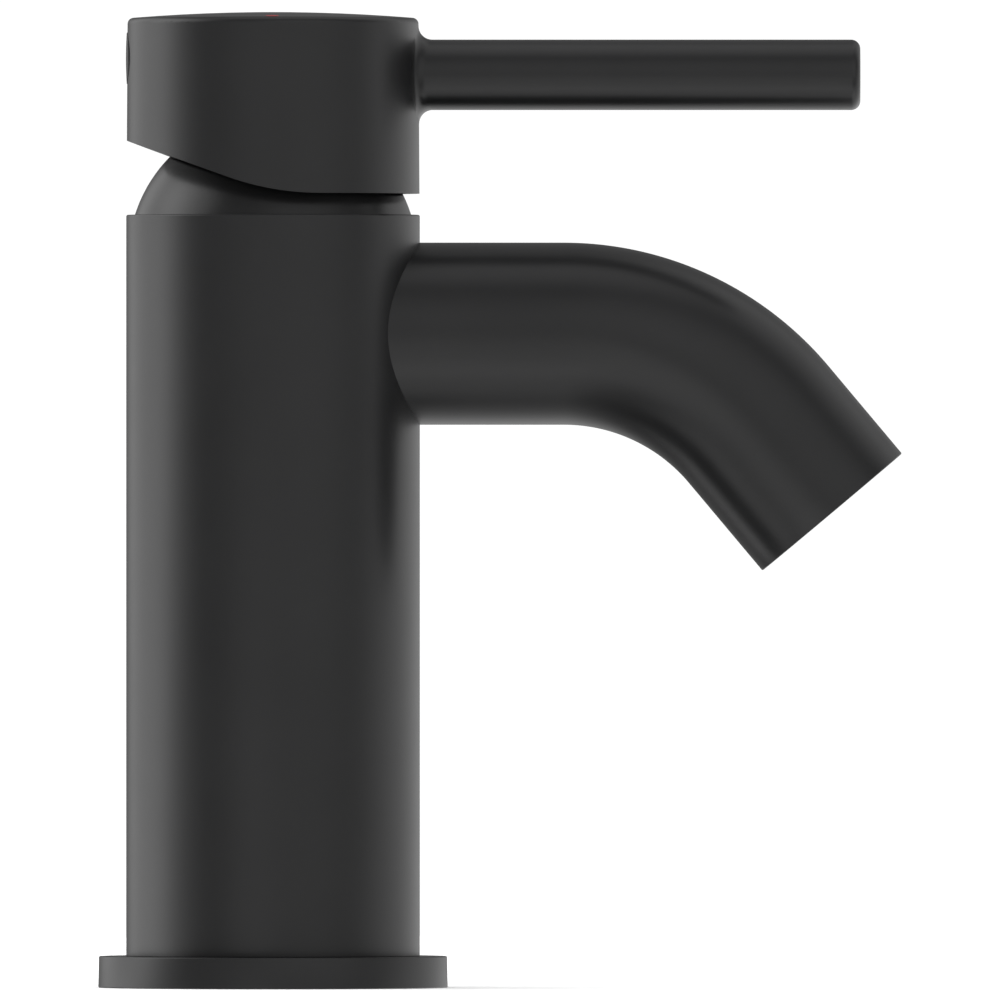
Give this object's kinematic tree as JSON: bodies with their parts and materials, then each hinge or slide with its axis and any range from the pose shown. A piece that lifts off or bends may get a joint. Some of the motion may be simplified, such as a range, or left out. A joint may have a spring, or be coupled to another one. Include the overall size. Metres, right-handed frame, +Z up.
{
  "type": "single-lever basin mixer faucet",
  "caption": "Basin mixer faucet: round column on a base ring, short bent-down spout with a recessed aerator, round hub handle with a horizontal pin lever that lifts and turns.",
  "frame": {"origin": "centre of the base's underside on the deck, on the column's axis", "axes": "+Z up along the column, +X forwards along the spout and the lever, -Y to the hot side (the user's left)"},
  "size_m": [0.1237, 0.0538, 0.1501],
  "materials": {
    "black_coat": "matte black powder coat",
    "black_plastic": "moulded black",
    "dark_plastic": "moulded dark grey",
    "black_rubber": "moulded",
    "red_rubber": "moulded silicone",
    "brass": "turned",
    "white_plastic": "moulded",
    "blue_plastic": "moulded",
    "green_plastic": "moulded",
    "red_plastic": "moulded",
    "disc_ceramic": "lapped alumina",
    "steel": "drawn",
    "hot_red": "enamelled",
    "cold_blue": "enamelled"
  },
  "bodies": {
    "fixed": {"body_shell": "black_coat", "base_ring": "black_coat", "base_seal": "black_rubber", "mounting_insert": "brass", "spout_tube": "black_coat", "waterway_core": "brass", "core_oring": "black_rubber", "cartridge_base": "white_plastic", "port_seals": "black_rubber", "disc_gasket": "red_rubber", "fixed_disc": "disc_ceramic", "glide_ring": "white_plastic", "cartridge_housing": "dark_plastic", "hot_limit_ring": "red_plastic", "retaining_nut": "brass", "nut_oring": "black_rubber", "dome_cap": "black_plastic", "aerator_housing": "dark_plastic", "aerator_gasket": "black_rubber", "flow_regulator": "green_plastic", "regulator_oring": "black_rubber", "jet_breaker": "white_plastic", "aerator_grid": "dark_plastic"},
    "rotor": {"stem_guide": "white_plastic", "pivot_pin": "steel"},
    "handle": {"cartridge_stem": "brass", "handle_hub": "black_coat", "lever": "black_coat", "set_screw": "steel", "screw_cap": "black_coat", "hot_index_dot": "hot_red", "cold_index_dot": "cold_blue"},
    "disc": {"moving_disc": "disc_ceramic", "disc_carrier": "blue_plastic"}
  },
  "joints": [
    {"name": "temperature", "type": "hinge", "parent": "fixed", "child": "rotor", "pos_m": [0, 0, 0.1122], "axis": [0, 0, 1], "range_deg": [-50, 50]},
    {"name": "lift", "type": "hinge", "parent": "rotor", "child": "handle", "pos_m": [0, 0, 0.1122], "axis": [0, -1, 0], "range_deg": [0, 25]},
    {"name": "disc_slide", "type": "slide", "parent": "rotor", "child": "disc", "axis": [1, 0, 0], "range_m": [0, 0.0052]}
  ],
  "couplings": [
    {"joint": "disc_slide", "follows": "lift", "m_per_rad": 0.01162}
  ]
}
